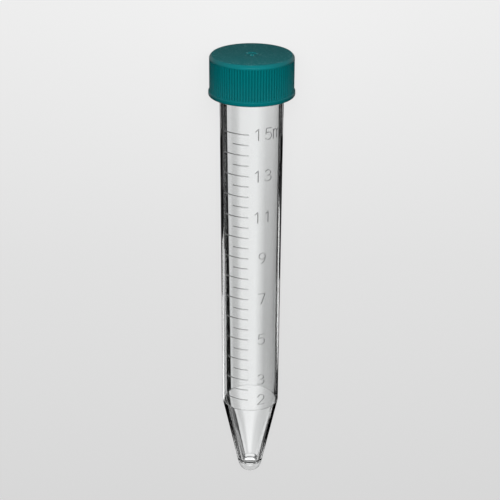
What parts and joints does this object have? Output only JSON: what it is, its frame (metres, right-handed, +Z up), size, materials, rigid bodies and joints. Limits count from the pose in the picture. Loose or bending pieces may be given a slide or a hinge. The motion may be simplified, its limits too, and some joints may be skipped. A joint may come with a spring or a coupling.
{
  "type": "conical centrifuge tube",
  "caption": "Clear graduated plastic tube with a conical tip, a screw thread at its mouth and a ribbed teal screw cap that seals on a disc inside it.",
  "frame": {"origin": "middle of the closed tube's box at the surface it lies on", "axes": "+Z up, +Y along the tube from its tip to its cap, graduations towards the upper left seen from above with the cap ahead"},
  "size_m": [0.0222, 0.1222, 0.0223],
  "materials": {
    "clear_tube": "water-clear moulded plastic, glossy inside and out",
    "liner_foam": "plain white foamed plastic disc",
    "cap_plastic": "opaque dark teal moulded plastic, satin sides with fine ribs and a finely grained top"
  },
  "bodies": {
    "tube": {"tube": "clear_tube"},
    "seal_liner": {"seal_liner": "liner_foam"},
    "screw_cap": {"screw_cap": "cap_plastic"}
  },
  "joints": [
    {"name": "cap_lift", "type": "slide", "parent": "tube", "child": "seal_liner", "axis": [0, 0.9993, 0.0382], "range_m": [0, 0.0048]},
    {"name": "cap_turn", "type": "hinge", "parent": "seal_liner", "child": "screw_cap", "pos_m": [0, 0.05378, 0.01121], "axis": [0, 0.9993, 0.0382], "range_deg": [0, 576]}
  ],
  "couplings": [
    {"joint": "cap_lift", "follows": "cap_turn", "m_per_rad": 0.00047746}
  ]
}
